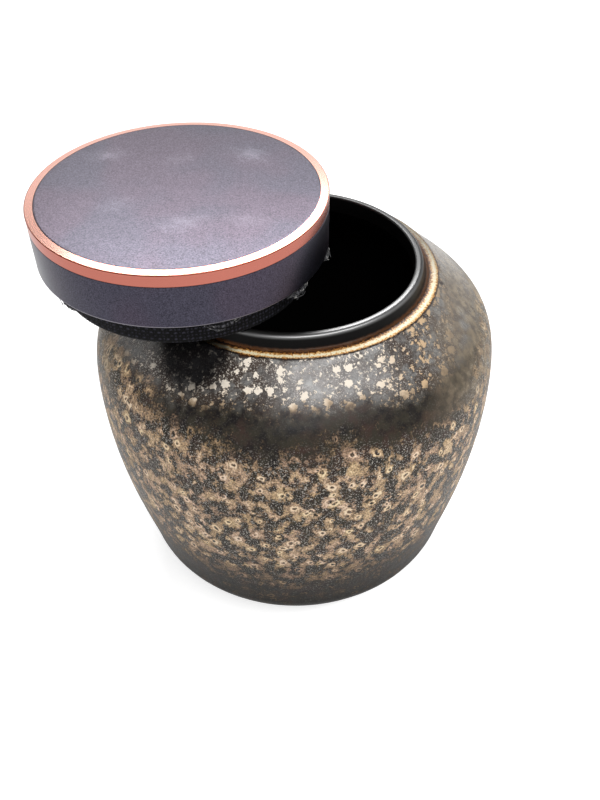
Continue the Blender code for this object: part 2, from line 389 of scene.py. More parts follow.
glaze = {
    # everything in millimetres: first the sizes of the patterns, then where they lie
    "zone": 17, "cloud": 8, "eyeSpacing": 4.0, "run": 3.4, "patch": 3.2, "blotchSpacing": 3.1,
    "swirl": 3, "ragged": 2.6, "fleckSpacing": 1.2, "fray": 1.2, "grain": 0.5, "salt": 0.42,
    "beltTop": 96, "beltBottom": 44, "beltSag": 4, "beltClimb": 14, "crystalFoot": 104.5,
    "goldStart": 1.5, "goldWidth": 2.4, "goldRun": 3,
    # where the lid's painted shade lies on the shoulder
    "shadeCentre": (-28, -37, 110), "shadeCore": 11, "shadeEdge": 19,
    # sRGB colours
    "spotStops": [(0.0, "#1c1918"), (0.22, "#403931"), (0.5, "#98836f"), (0.75, "#d4bca1"), (1.0, "#f8ecd8")],
    "pinkTint": "#fff3ee", "goldTint": "#fff6de",
    # the last of these colours is the painted shade under the lid
    "darkIron": "#1a1718", "redIron": "#43322c", "oliveIron": "#37332a", "paintedShadeColour": "#08080b",
    # the two side tones are a painted sheen at both sides of the shoulder, over the glaze's own mottling
    "greyCrystal": "#7f7e7c", "brownCrystal": "#51453d", "sideSheenPale": "#978973", "sideSheenDark": "#675d51",
    # the cream and tan crystal colours are lit and unlit copies of the same crystals, a painted highlight
    "litCrystal": "#fff3e2", "unlitCrystal": "#d8b890", "saltCrystal": "#d6cfc5", "rimCrystal": "#2a211e",
    # the pale end of these stops is partly a painted highlight on the gold line
    "goldAndHighlightStops": [(0.0, "#2c1a0f"), (0.2, "#85501f"), (0.42, "#e0a65a"), (0.62, "#ffeebf"), (1.0, "#fffaea")],
    "goldRim": "#20150e", "fringe": "#5a3a24", "gloss": "#0b0a0a", "clay": "#a88c72",
}


def addEyes(add, place):
    # warped space, in which the cells and their eyes lie
    swirl = add("TexNoise", {"Vector": place, "Scale": 1 / glaze["swirl"], "Detail": 2})
    warp = add(vectorMinus, (swirl.outputs["Color"], (0.5, 0.5, 0.5)))
    warped = add(vectorTimesPlus, (warp, (2.4, 2.4, 2.4), place))
    cells = add("TexVoronoi", {"Vector": warped, "Scale": 1 / glaze["eyeSpacing"]})
    draw = add("SeparateColor", (cells.outputs["Color"],))

    # distance to the eye: the cell's seed, moved out to the wall along its radius
    seedFlat = add(vectorTimes, (cells.outputs["Position"], (1, 1, 0)))
    hereFlat = add(vectorTimes, (warped, (1, 1, 0)))
    hereRadius = add(lengthOf, (hereFlat,))
    seedRadius = add(lengthOf, (seedFlat,))
    seedWay = add(("VectorMath", {"operation": "NORMALIZE"}), (seedFlat,))
    onWall = add(scaled, (seedWay, hereRadius))
    across = add(vectorMinus, (onWall, hereFlat))
    upward = add(vectorMinus, (cells.outputs["Position"], warped))
    offset = add(vectorTimesPlus, (upward, (0, 0, 1), across))
    away = add(lengthOf, (offset,))
    eyeSize = add("MapRange", (draw.outputs[1], 0, 1, 0.55, 1.15))
    eyeAway = add(over, (away, eyeSize))
    depth = add(minus, (hereRadius, seedRadius))
    depth = add(sizeOf, (depth,))
    chosen = add(smooth, (draw.outputs[0], 0.2, 0.6))
    hasEye = add(smooth, (depth, 0.9, 1.6, chosen, 0))
    ring = add(smooth, (eyeAway, 0.95, 1.5, hasEye, 0))
    ring = add(smooth, (eyeAway, 0.45, 0.85, 0, ring))
    pin = add(smooth, (eyeAway, 0.3, 0.75, hasEye, 0))
    halo = add(smooth, (eyeAway, 1.2, 3.2, hasEye, 0))
    return warped, cells, draw, ring, pin, halo


def addFlecks(add, frayed, aside):
    # cream blotches with a thin dark rim, flecks, and the dark veins between the blotches
    blotches = add("TexVoronoi", {"Vector": frayed, "Scale": 1 / glaze["blotchSpacing"]})
    blotchDraw = add("SeparateColor", (blotches.outputs["Color"],))
    blotchSize = add(("Math", {"operation": "POWER"}), (blotchDraw.outputs[0], 1.4))
    # blotches are smaller towards the left, partly painted shade under the lid
    crop = add(smooth, (aside, -50, -5, 0.4, 0.54))
    blotchSize = add(times, (blotchSize, crop))
    blotchEdge = add(minus, (blotchSize, blotches.outputs["Distance"]))
    blotch = add(smooth, (blotchEdge, -0.03, 0.06))
    blotchRim = add(smooth, (blotchEdge, -0.14, -0.04, 0, 0.85))
    flecks = add("TexVoronoi", {"Vector": frayed, "Scale": 1 / glaze["fleckSpacing"]})
    fleckDraw = add("SeparateColor", (flecks.outputs["Color"],))
    fleckSize = add("MapRange", (fleckDraw.outputs[0], 0.35, 1, 0, crop))
    fleck = add(minus, (fleckSize, flecks.outputs["Distance"]))
    fleck = add(smooth, (fleck, -0.04, 0.1))
    cream = add(larger, (blotch, fleck))
    veins = add(("TexVoronoi", {"feature": "DISTANCE_TO_EDGE"}),
                {"Vector": frayed, "Scale": 1 / glaze["blotchSpacing"]})
    veins = add(smooth, (veins, 0.02, 0.1, 0.55, 0))
    return cream, blotchRim, veins


def addGoldLine(add, fray, runs, grain, aside, behind, along, collarFoot):
    # gold-tan line on the ledge, grainy, brown along its top, with short runs below it and a thin dark rim;
    # its pale core is partly painted highlight, where the ledge catches the front light; it fades towards the
    # back
    runLength = add("MapRange", (runs, 0.62, 0.8, 0, glaze["goldRun"]))
    goldWidth = add("MapRange", (aside, -5, 35, glaze["goldWidth"], 1.3 * glaze["goldWidth"]))
    fromTop = add(minus, (along, collarFoot + glaze["goldStart"]))
    edge = add(minus, (fromTop, add(minus, (fray, 0.5))))
    edge = add(minus, (edge, runLength))
    edge = add(minus, (edge, goldWidth))
    goldOn = add(smooth, (behind, -22, 18, 1, 0.22))
    goldOut = add(smooth, (edge, -0.25, 0, goldOn, 0))
    goldIn = add(timesPlus, (fray, 2.2, fromTop))
    gold = add(smooth, (goldIn, 0.8, 1.2, 0, goldOut))
    goldAndHighlightTone = add(over, (fromTop, goldWidth))
    goldAndHighlightTone = add(minus, (goldAndHighlightTone, 0.6))
    goldAndHighlightTone = add(sizeOf, (goldAndHighlightTone,))
    goldAndHighlightTone = add(timesPlus, (goldAndHighlightTone, -1.5, 0.2))
    goldAndHighlightTone = add(timesPlus, (grain, 1.2, goldAndHighlightTone))
    goldAndHighlightTone = add(("ValToRGB", {"stops": glaze["goldAndHighlightStops"]}), (goldAndHighlightTone,))
    rim = add(smooth, (edge, 0.25, 0.6, 0.9, 0))
    return gold, goldAndHighlightTone, rim


def makeGlaze(lipTop, collarFoot):
    # reactive iron glaze on stoneware, fired: near black and glossy with matt tan crystals that
    # ran into a spotted net, cream flecks on the shoulder and a gold-tan line on the ledge round the collar
    material, add, shader, place = newMaterial("reactiveIronGlaze", {})
    split = add("SeparateXYZ", (place,))
    height, aside, behind = split.outputs["Z"], split.outputs["X"], split.outputs["Y"]
    sideways = add(sizeOf, (aside,))
    along = add(("Attribute", {"attribute_name": "along"})).outputs["Fac"]

    # uneven heights, so that no zone ends on a ruled line; the belt sags a little, climbs at
    # the sides and lies higher on the left
    wide, ragged, cloud, grain, runs, salt = [
        add("TexNoise", {"Vector": place, "Scale": 1 / glaze[name], "Detail": detail})
        for name, detail in {"zone": 2, "ragged": 3, "cloud": 3, "grain": 1.5, "run": 1, "salt": 1}.items()]
    fine = add(timesPlus, (ragged, 5, height))
    level = add(timesPlus, (wide, 16, fine))
    level = add(minus, (level, 10.5))
    sag = add(smooth, (sideways, 15, 38, 0, glaze["beltSag"]))
    climb = add(smooth, (sideways, 46, 62, 0, glaze["beltClimb"]))
    climb = add(minus, (climb, sag))
    beltLevel = add(minus, (level, climb))
    leftRise = add(smooth, (aside, -46, -10, -9, 1))
    beltLevel = add(plus, (beltLevel, leftRise))
    fine = add(minus, (fine, 2.5))
    fine = add(timesPlus, (sag, 0.7, fine))

    warped, cells, draw, ring, pin, halo = addEyes(add, place)

    # belt: soft tan crystals leave dark pools, drawn out a little downwards
    drawnOut = add(vectorTimes, (warped, (1, 1, 0.75)))
    patches = add("TexNoise", {"Vector": drawnOut, "Scale": 1 / glaze["patch"],
                               "Detail": 2.2, "Roughness": 0.55})
    patches = add(timesPlus, (halo, 0.13, patches))
    tan = add(smooth, (patches, 0.42, 0.63))
    beltTop = add(smooth, (beltLevel, glaze["beltTop"] - 8, glaze["beltTop"] + 3, 1, 0.2))
    beltFoot = add(smooth, (level, glaze["beltBottom"] - 28, glaze["beltBottom"] + 8, 0.34, 1))
    belt = add(times, (beltTop, beltFoot))
    marks = add("MapRange", (tan, 0, 1, 0.05, 0.66))
    lift = add(minus, (cloud, 0.5))
    lift = add(times, (lift, tan))
    marks = add(timesPlus, (lift, 0.5, marks))
    marks = add(timesPlus, (ring, 0.45, marks))
    marks = add(timesPlus, (pin, -0.36, marks))
    marks = add(times, (marks, belt))
    speck = add("MapRange", (grain, 0.3, 0.7, -0.27, 0.27))
    speckOn = add("MapRange", (belt, 0, 1, 0.25, 1))
    tone = add(timesPlusClamped, (speck, speckOn, marks))
    body = add(("ValToRGB", {"stops": glaze["spotStops"]}), (tone,))
    hue = add(mix, (draw.outputs[2], glaze["pinkTint"], glaze["goldTint"]))
    body = add(tint, (1, body, hue))

    # dark pools and the plain band over the belt: reddish or olive iron in clouds
    cloudTone = add(smooth, (cloud, 0.4, 0.62))
    raggedTone = add(smooth, (ragged, 0.35, 0.65))
    iron = add(mix, (cloudTone, glaze["darkIron"], glaze["redIron"]))
    iron = add(mix, (raggedTone, iron, glaze["oliveIron"]))
    ironOn = add(smooth, (tone, 0.05, 0.38, 0.85, 0))
    body = add(mix, (ironOn, body, iron))

    # shoulder: smooth grey cells with brown between them
    crystalZone = add(smooth, (fine, glaze["crystalFoot"] - 3.5, glaze["crystalFoot"] + 2.5))
    between = add(smooth, (cells.outputs["Distance"], 0.3, 0.68))
    brown = add(timesPlusClamped, (cloudTone, 0.5, between))
    crystal = add(mix, (brown, glaze["greyCrystal"], glaze["brownCrystal"]))
    # fewer grey crystals towards the left, partly painted shade under the lid
    crystalOn = add(smooth, (aside, -50, -10, 0.45, 0.95))
    crystalOn = add(times, (crystalOn, crystalZone))
    body = add(mix, (crystalOn, body, crystal))

    # both sides of the shoulder fade to a mottled taupe: the glaze's own mottling, painted pale as a sheen
    # that stands in for the grazing reflection of the white surroundings
    sideSheen = add(smooth, (aside, 34, 52))
    leftSheen = add(smooth, (aside, -60, -50, 1, 0))
    sideSheen = add(larger, (sideSheen, leftSheen))
    sideSheen = add(smooth, (level, 84, 96, 0, sideSheen))
    sheenTone = add(smooth, (cloud, 0.3, 0.6, 0.38, 0.85))
    sheenOn = add(times, (sideSheen, sheenTone))
    sheenColour = add(mix, (raggedTone, glaze["sideSheenPale"], glaze["sideSheenDark"]))
    body = add(mix, (sheenOn, body, sheenColour))

    # tiny pale grains: thick in the belt's pools and between the shoulder's cells
    salted = add(smooth, (salt, 0.55, 0.68, 0, 0.75))
    inPools = add("MapRange", (tan, 0, 1, 1, 0.35))
    inBelt = add("MapRange", (belt, 0.2, 1, 0.06, 1))
    saltOn = add(times, (inPools, inBelt))
    onShoulder = add("MapRange", (between, 0, 1, 0.25, 1))
    onShoulder = add(times, (onShoulder, crystalZone))
    # away from the sides, where sheen is painted
    plain = add(minus, (1, sideSheen))
    onShoulder = add(times, (onShoulder, plain))
    saltOn = add(larger, (saltOn, onShoulder))
    salted = add(times, (salted, saltOn))
    body = add(mix, (salted, body, glaze["saltCrystal"]))

    # painted light: the cream blotches and flecks are cream-white where the front light catches them and turn
    # tan towards the right and near the zone's lower edge, where it does not
    fray = add("TexNoise", {"Vector": place, "Scale": 1 / glaze["fray"], "Detail": 3, "Roughness": 0.7})
    frayed = add(vectorMinus, (fray.outputs["Color"], (0.5, 0.5, 0.5)))
    frayed = add(vectorTimesPlus, (frayed, (3.2, 3.2, 3.2), place))
    cream, blotchRim, veins = addFlecks(add, frayed, aside)
    # fewer cream flecks towards the left, partly painted shade under the lid
    strength = add(smooth, (aside, -50, -15, 0.5, 1))
    strength = add(times, (strength, plain))
    creamZone = add(smooth, (fine, glaze["crystalFoot"] - 3, glaze["crystalFoot"] + 0.5, 0, strength))
    cream = add(times, (cream, creamZone))
    rimmed = add(times, (blotchRim, creamZone))
    toUnlit = add(smooth, (aside, 18, 36))
    lowEdge = add(smooth, (fine, glaze["crystalFoot"] - 2, glaze["crystalFoot"] + 2, 1, 0))
    toUnlit = add(larger, (toUnlit, lowEdge))
    crystalLitTone = add(mix, (toUnlit, glaze["litCrystal"], glaze["unlitCrystal"]))
    veins = add(times, (veins, creamZone))
    rimmed = add(larger, (rimmed, veins))
    body = add(mix, (rimmed, body, glaze["rimCrystal"]))
    body = add(mix, (cream, body, crystalLitTone))

    # the gold line on the ledge, its pale core partly a painted highlight
    gold, goldAndHighlightTone, rim = addGoldLine(add, fray, runs, grain, aside, behind, along, collarFoot)
    body = add(mix, (rim, body, glaze["goldRim"]))
    body = add(mix, (gold, body, goldAndHighlightTone))

    # painted shade: a patch of almost black glaze at the front left of the shoulder, where the lid's shadow
    # falls
    fromShade = add(("VectorMath", {"operation": "DISTANCE"}), (place, glaze["shadeCentre"]))
    fromShade = add(timesPlus, (ragged, 6, fromShade))
    pool = add(smooth, (fromShade, glaze["shadeCore"], glaze["shadeEdge"], 0.95, 0))
    body = add(mix, (pool, body, glaze["paintedShadeColour"]))

    # the body is darker towards the foot, painted shade where it turns under to the floor; the clay is bare
    # at the very foot
    footShade = add(smooth, (height, 4, 54, 0.36, 1))
    body = add(scaled, (body, footShade))
    bare = add(smooth, (height, 0.15, 0.5, 1, 0))
    body = add(mix, (bare, body, glaze["clay"]))

    # black inside, over the lip and down the collar
    outside = add(smooth, (along, collarFoot + 0.4, collarFoot + 1))
    body = add(mix, (outside, glaze["gloss"], body))
    # brown fringe where the black runs out above the gold
    fringe = add(minus, (along, collarFoot))
    fringe = add(plus, (fringe, fray))
    clear = add(minus, (1, gold))
    clear = add(smooth, (fringe, 2.2, 2.8, clear, 0))
    fringe = add(smooth, (fringe, 0.6, 1.8, 0, clear))
    body = add(mix, (fringe, body, glaze["fringe"]))

    # crystals are matt, iron is glossy
    matt = add(larger, (tone, cream))
    matt = add(times, (matt, outside))
    goldMatt = add(times, (gold, 0.35))
    matt = add(larger, (matt, goldMatt))
    matt = add(larger, (matt, bare))
    gloss = add("MapRange", (crystalZone, 0, 1, 0.34, 0.22))
    lip = add(smooth, (behind, -26, -4, 1, 0))
    lip = add(smooth, (along, lipTop + 1.8, lipTop + 2.8, lip, 0))
    lip = add(smooth, (along, lipTop - 0.4, lipTop + 0.6, 0, lip))
    lipGloss = add("MapRange", (lip, 0, 1, 0.28, 0.36))
    gloss = add(mixNumbers, (outside, lipGloss, gloss))
    rough = add("MapRange", (matt, 0, 1, gloss, 0.55))
    # the front of the lip is polished by wear to a metallic lustre
    lustre = add("MapRange", (lip, 0, 1, 1.5, 2))
    # the collar's flank and the foot carry thin dull glaze
    flank = add(smooth, (along, lipTop + 1.6, lipTop + 2.3, 0.5, 0.1))
    flank = add(timesPlus, (lip, 0.5, flank))
    overFillet = add(smooth, (along, collarFoot + 1.2, collarFoot + 2.6))
    dull = add(smooth, (height, 6, 60, 0.06, 0.16))
    shine = add("MapRange", (crystalZone, 0, 1, dull, 0.6))
    # the painted shade is dull as well
    shine = add(mixNumbers, (pool, shine, 0.08))
    shine = add(mixNumbers, (overFillet, flank, shine))

    # relief: crystals stand up a little, the iron has a fine orange peel
    peel = add(timesPlus, (grain, 0.6, matt))
    relief = add(times, (peel, outside))
    bump = add("Bump", {"Strength": 0.5, "Distance": 0.05 * mm, "Height": relief})
    feed(shader, {"Base Color": body, "Roughness": rough, "IOR": lustre,
                  "Specular IOR Level": shine, "Normal": bump})
    return material


jarPiece, marksAlong = makeJar()
jarPiece.data.materials.append(makeGlaze(marksAlong["lipTop"], marksAlong["collarFoot"]))
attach(jarPiece, "jar")
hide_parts("jar_body")
print("jar done,", len(jarPiece.data.polygons), "faces")


capLow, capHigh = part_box("cap_shell")
bandLow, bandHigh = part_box("rim_band")
lidX, lidY = (capLow.x + capHigh.x) / 2, (capLow.y + capHigh.y) / 2
capRadius = (capHigh.x - capLow.x) / 2

cap = {
    "bandWidth": 2.45 * mm,
    "joint": 0.06 * mm,        # hairline between the band and the dark metal
    "edgeRound": 0.32 * mm,
    "wall": 1.2 * mm, "top": 2.4 * mm, "bandWall": 0.9 * mm, "gap": 0.3 * mm,
    "steps": 192,
    # the last colour is the painted highlight along the skirt's lower edge
    "colour": "#4f4a53", "sideColour": "#4e4a56", "smear": "#8d8894", "paleEdgeHighlight": "#a39fa8",
    "bluish": "#f3f8fb", "purplish": "#fff8fb",
    "grit": 0.32,              # mm; real blasting grit is near 0.1, too fine to show
    "cloud": 11, "drift": 22, "streak": 2.2,    # mm
    # faint finger smears on the panel: place from the lid's axis and size, in mm, turn in degrees, strength
    "smears": [(-23, 20.5, 5.6, 3.6, 20, 0.6), (19.5, 19.5, 6.2, 4.0, -35, 0.75),
               (-1, 17, 4.4, 3.6, 30, 0.4), (-16.5, -8.5, 5.0, 3.4, 40, 0.35),
               (3, -18, 7.0, 3.8, 15, 0.5), (20.5, -17.5, 6.8, 3.4, -10, 0.3)],
}

band = {
    "drop": 0.26 * mm, "edge": 0.16 * mm, "wall": 0.9 * mm,
    # the top is painted paler than the side, partly for the light it catches; the last colour is the painted
    # dark reflection at the edge
    "topColour": "#efb6a6", "sideColour": "#cb7b6c", "edgeReflectionColour": "#9a4a36",
    "turningPitch": 0.25,      # mm; real cutting marks are near 0.05, too fine to show
    # how far in and down the painted dark reflection reaches
    "reflectionIn": 0.24, "reflectionDown": 0.30,    # mm
}


def makeCap():
    outer, top, foot, edge = capRadius, capHigh.z, capLow.z, cap["edgeRound"]
    bandFoot = bandLow.z - cap["joint"]
    panel = outer - cap["bandWidth"] - cap["joint"]
    seat = outer - cap["bandWall"] - cap["gap"]
    seatTop = top - cap["bandWall"] - cap["gap"]
    inner = outer - cap["wall"]
    step = seat - cap["wall"]
    stepFoot = bandLow.z - cap["gap"] - cap["wall"]
    ceiling = top - cap["top"]
    line = [(r, top) for r in evenSteps(0, panel - 0.45 * mm, 5 * mm)]
    line += [(panel - 0.15 * mm, top), (panel - 0.03 * mm, top - 0.03 * mm), (panel, top - 0.15 * mm)]
    line += [(panel, seatTop), (seat, seatTop)]
    line += [(seat, bandFoot), (outer - 0.12 * mm, bandFoot), (outer - 0.03 * mm, bandFoot - 0.03 * mm)]
    line += [(outer, bandFoot - 0.12 * mm)]
    line += [(outer, z) for z in evenSteps(bandFoot - 0.4 * mm, foot + edge + 0.3 * mm, 1.6 * mm)]
    line += quarterRound((outer - edge, foot + edge), edge, 0, 5)
    line += [(inner + 0.15 * mm, foot), (inner, foot + 0.15 * mm), (inner, stepFoot)]
    line += [(step, stepFoot), (step, ceiling)]
    line += [(r, ceiling) for r in evenSteps(step, 0, 8 * mm)][1:]
    return spinOutline("blasted_cap", line, (lidX, lidY), cap["steps"], 28)


def makeBand():
    outer, top, foot = capRadius, bandHigh.z, bandLow.z
    width, wall, drop, edge = cap["bandWidth"], band["wall"], band["drop"], band["edge"]
    inner = outer - width
    slope = drop / (width - edge)
    line = [(inner, top - wall), (inner, top - 0.05 * mm), (inner + 0.05 * mm, top - 0.05 * mm * slope)]
    line += [(inner + w, top - w * slope) for w in evenSteps(0.4 * mm, width - 1.6 * edge, 0.5 * mm)]
    line += quarterRound((outer - edge, top - drop - edge), edge, 84, 5)
    line = [p for p in line if p[1] > foot]
    line += [(outer, z) for z in evenSteps(top - drop - edge - 0.05 * mm, foot + 0.3 * mm, 0.8 * mm)]
    line += [(outer, foot + 0.1 * mm), (outer - 0.05 * mm, foot + 0.01 * mm), (outer - wall, foot),
             (outer - wall, top - wall), (inner, top - wall)]
    return spinOutline("rose_band", line, (lidX, lidY), cap["steps"], 28)


def makeBlastedAluminium():
    # sandblasted aluminium, anodised a dark purple grey: a metal with a soft, faintly sparkling sheen
    material, add, shader, place = newMaterial("blastedAnodisedAluminium", {"Metallic": 1.0})
    grit = add("TexNoise", {"Vector": place, "Scale": 1 / cap["grit"], "Detail": 2})
    cloud = add("TexNoise", {"Vector": place, "Scale": 1 / cap["cloud"], "Detail": 3})
    tone = add("MapRange", (grit, 0.3, 0.7, 0.52, 1.48))
    height = add("SeparateXYZ", (place,)).outputs["Z"]
    onSide = add("MapRange", (height, bandLow.z / mm, capHigh.z / mm, 1, 0))
    base = add(mix, (onSide, cap["colour"], cap["sideColour"]))
    # the anodising is bluer in some clouds and more purple in others
    drift = add("TexNoise", {"Vector": place, "Scale": 1 / cap["drift"], "Detail": 1})
    hue = add(smooth, (drift, 0.4, 0.6))
    hue = add(mix, (hue, cap["bluish"], cap["purplish"]))
    base = add(tint, (1, base, hue))
    colour = add(scaled, (base, tone))

    # finger smears, broken up into streaks
    streaks = add("TexNoise", {"Vector": place, "Scale": 1 / cap["streak"], "Detail": 3})
    smeared = None
    for x, y, width, depth, angle, strength in cap["smears"]:
        spot = (lidX / mm + x, lidY / mm + y, capHigh.z / mm)
        local = add(("Mapping", {"vector_type": "TEXTURE"}),
                    {"Vector": place, "Location": spot, "Rotation": (0, 0, math.radians(angle)),
                     "Scale": (width, depth, 1.5)})
        away = add(lengthOf, (local,))
        away = add(timesPlus, (streaks, 2.2, away))
        one = add(smooth, (away, 0.4, 2.6, strength, 0))
        smeared = one if smeared is None else add(larger, (smeared, one))
    smearOn = add(times, (smeared, grit))
    colour = add(mix, (smearOn, colour, cap["smear"]))
    # painted highlight: a pale line along the skirt's lower edge
    frayAndEdgeHighlight = add(smooth, (height, capLow.z / mm + 0.25, capLow.z / mm + 0.5, 0.8, 0))
    colour = add(mix, (frayAndEdgeHighlight, colour, cap["paleEdgeHighlight"]))
    rough = add("MapRange", (cloud, 0.3, 0.7, 0.275, 0.3))
    bump = add("Bump", {"Strength": 0.3, "Distance": 0.02 * mm, "Height": grit})
    feed(shader, {"Base Color": colour, "Roughness": rough, "Normal": bump})
    return material


def makeRoseGold():
    # diamond-cut aluminium, anodised rose gold: a pale cut top and a deeper side, partly painted light, with
    # a painted dark reflection between them
    material, add, shader, place = newMaterial("cutRoseGoldAluminium", {"Metallic": 1.0, "Roughness": 0.24})
    centred = add(vectorMinus, (place, (lidX / mm, lidY / mm, 0)))
    flat = add(vectorTimes, (centred, (1, 1, 0)))
    radius = add(lengthOf, (flat,))
    height = add("SeparateXYZ", (place,)).outputs["Z"]
    # painted reflection: a dark line runs round the outer top edge, standing in for the dark reflection in
    # its rounded edge
    topEdge = (bandHigh.z - band["drop"]) / mm
    outward = add(minus, (radius, capRadius / mm - band["reflectionIn"]))
    below = add(minus, (height, topEdge - band["reflectionDown"]))
    nearEdge = add(("Math", {"operation": "MINIMUM"}), (outward, below))
    darkReflection = add(smooth, (nearEdge, -0.04, 0.06))
    # the top is painted paler than the side, partly for the light it catches
    onSide = add("MapRange", (below, -0.05, 0.05, 1, 0))
    colour = add(mix, (onSide, band["topColour"], band["sideColour"]))
    colour = add(mix, (darkReflection, colour, band["edgeReflectionColour"]))
    # cutting marks run round the band
    travel = add(plus, (radius, height))
    marks = add(("TexNoise", {"noise_dimensions": "1D"}),
                {"W": travel, "Scale": 1 / band["turningPitch"], "Detail": 2})
    bump = add("Bump", {"Strength": 0.08, "Distance": 0.01 * mm, "Height": marks})
    feed(shader, {"Base Color": colour, "Normal": bump})
    return material


capPiece = makeCap()
capPiece.data.materials.append(makeBlastedAluminium())
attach(capPiece, "lid")
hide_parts("cap_shell")
bandPiece = makeBand()
bandPiece.data.materials.append(makeRoseGold())
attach(bandPiece, "lid")
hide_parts("rim_band")
print("cap and band done")


clothLow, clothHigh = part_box("plug_cloth")

cloth = {
    "thickness": 0.55 * mm,
    "plugRadius": 37.2 * mm,
    "edgeRound": 1.5 * mm, "crown": 0.4 * mm,
    "threads": 212,            # round the plug, which makes the pitch 1.10 mm
    "relief": 0.11 * mm,       # how far a thread rises and dips
    "perThread": 3,            # points across a thread
    "hem": 0.4 * mm, "flare": 2.1 * mm,
    "cut": (130 * mm, 130 * mm),
    "colour": "#030304", "crest": "#3c3b46",
    "frayColour": "#0e0e10", "frayCrest": "#5d5c61",
}

# where the cut edge hangs out of the cap: centre and half width in degrees, drop in mm, share of the flare
tails = [(-134, 12, 2.6, 0.3), (-71, 13, 3.2, 0.0), (-36, 12, 3.0, 0.4), (-9, 11, 2.8, 1.0)]


def tailShape(angle):
    # how far the cut edge hangs down here, and how far it spreads
    drop, spread = -cloth["hem"], 0
    for centre, halfWidth, tailDrop, flareShare in tails:
        away = abs(math.remainder(angle - math.radians(centre), turn)) / math.radians(halfWidth)
        if away < 1:
            rise = math.cos(away * math.pi / 2) ** 2
            drop += (tailDrop * mm + cloth["hem"]) * rise
            spread += flareShare * cloth["flare"] * rise
    return drop, spread


def makeCloth():
    half = 0.5 * cloth["thickness"] + cloth["relief"]
    pitch = turn * (cloth["plugRadius"] - half) / cloth["threads"]
    fine = pitch / cloth["perThread"]
    bottom, mouth, top = clothLow.z, capLow.z, clothHigh.z - half
    side = cloth["plugRadius"] - half
    leg = capRadius - cap["wall"] - cap["gap"] - half
    bend = cloth["edgeRound"] - half
    flatRadius = cloth["plugRadius"] - cloth["edgeRound"]
    cornerTop = bottom + half + cloth["crown"] + bend
    crease = (leg - side) / 4

    line = [(leg, z) for z in evenSteps(mouth, mouth + 3.3 * mm, fine)]
    line += [(leg, z) for z in evenSteps(mouth + 3.3 * mm, top - crease, 2 * mm)][1:]
    line += [(leg - crease, top), (side + crease, top), (side, top - crease)]
    line += [(side, z) for z in evenSteps(top - crease, mouth + 1 * mm, 2 * mm)][1:]
    line += [(side, z) for z in evenSteps(mouth + 1 * mm, cornerTop, fine)][1:]
    line += quarterRound((flatRadius, cornerTop), bend, 0, 5)[1:]
    line += [(r, bottom + half + cloth["crown"] * (r / flatRadius) ** 2)
             for r in evenSteps(flatRadius, 0, 3.5 * mm)][1:]
    piece = spinOutline("linen_cover", line, (lidX, lidY), cloth["threads"] * cloth["perThread"], 60)

    # tails: the outer leg is longer there, and spreads once it has left the cap
    legTop = top - crease
    mesh = piece.data
    away = []                  # distance along the cloth from the plug's edge, for the weave
    for vertex in mesh.vertices:
        x, y, z = vertex.co.x - lidX, vertex.co.y - lidY, vertex.co.z
        radius, angle = math.hypot(x, y), math.atan2(y, x)
        run = z - cornerTop
        if radius > leg - crease / 2 and z < legTop:
            run = 2 * (top - cornerTop) + (leg - side) - run
            drop, spread = tailShape(angle)
            ragged = noise.noise(Vector((angle * 60, 0, 3))) + 0.6 * noise.noise(Vector((angle * 170, 0, 8)))
            drop += 0.45 * mm * ragged * (drop > 0.4 * mm)
            lower = z - drop * (legTop - z) / (legTop - mouth)
            hanging = max(mouth - 0.3 * mm - lower, 0)
            wider = 1 + spread * hanging / max(drop, cloth["hem"]) / max(radius, mm)
            x, y, z = x * wider, y * wider, lower
            vertex.co = (x + lidX, y + lidY, z)
        away.append(run)

    # plain weave: threads rise and dip by turns, as counted round the plug and along the cloth
    mesh.update()
    normals = [v.normal.copy() for v in mesh.vertices]
    for vertex, run, normal in zip(mesh.vertices, away, normals):
        x, y = vertex.co.x - lidX, vertex.co.y - lidY
        radius = math.hypot(x, y)
        if radius < side - 0.4 * mm:
            continue
        u = math.atan2(y, x) / turn * cloth["threads"]
        v = run / pitch
        warp = math.sin(math.pi * (u % 1)) * (0.5 + 0.5 * math.sin(math.pi * (v + math.floor(u))))
        weft = math.sin(math.pi * (v % 1)) * (0.5 - 0.5 * math.sin(math.pi * (u + math.floor(v))))
        vertex.co += normal * cloth["relief"] * (2 * max(warp, weft) - 1)

    # thread coordinates, counted in threads: round and along the side, straight across the bottom
    uv = mesh.uv_layers.new(name="weave")
    for face in mesh.polygons:
        corners = [mesh.vertices[i].co for i in face.vertices]
        inside = all(math.hypot(c.x - lidX, c.y - lidY) < flatRadius + 0.05 * mm
                     and c.z < mouth for c in corners)
        angles = [math.atan2(c.y - lidY, c.x - lidX) for c in corners]
        wrap = max(angles) - min(angles) > math.pi
        for loop, index, corner, angle in zip(face.loop_indices, face.vertices, corners, angles):
            if inside:
                value = ((corner.x - lidX) / pitch, (corner.y - lidY) / pitch)
            else:
                lap = turn if wrap and angle < 0 else 0
                value = ((angle + lap) / turn * cloth["threads"], away[index] / pitch)
            uv.data[loop].uv = value

    wall = piece.modifiers.new("Thickness", "SOLIDIFY")
    wall.thickness = cloth["thickness"]
    wall.offset = 0
    applyModifiers(piece)
    return piece


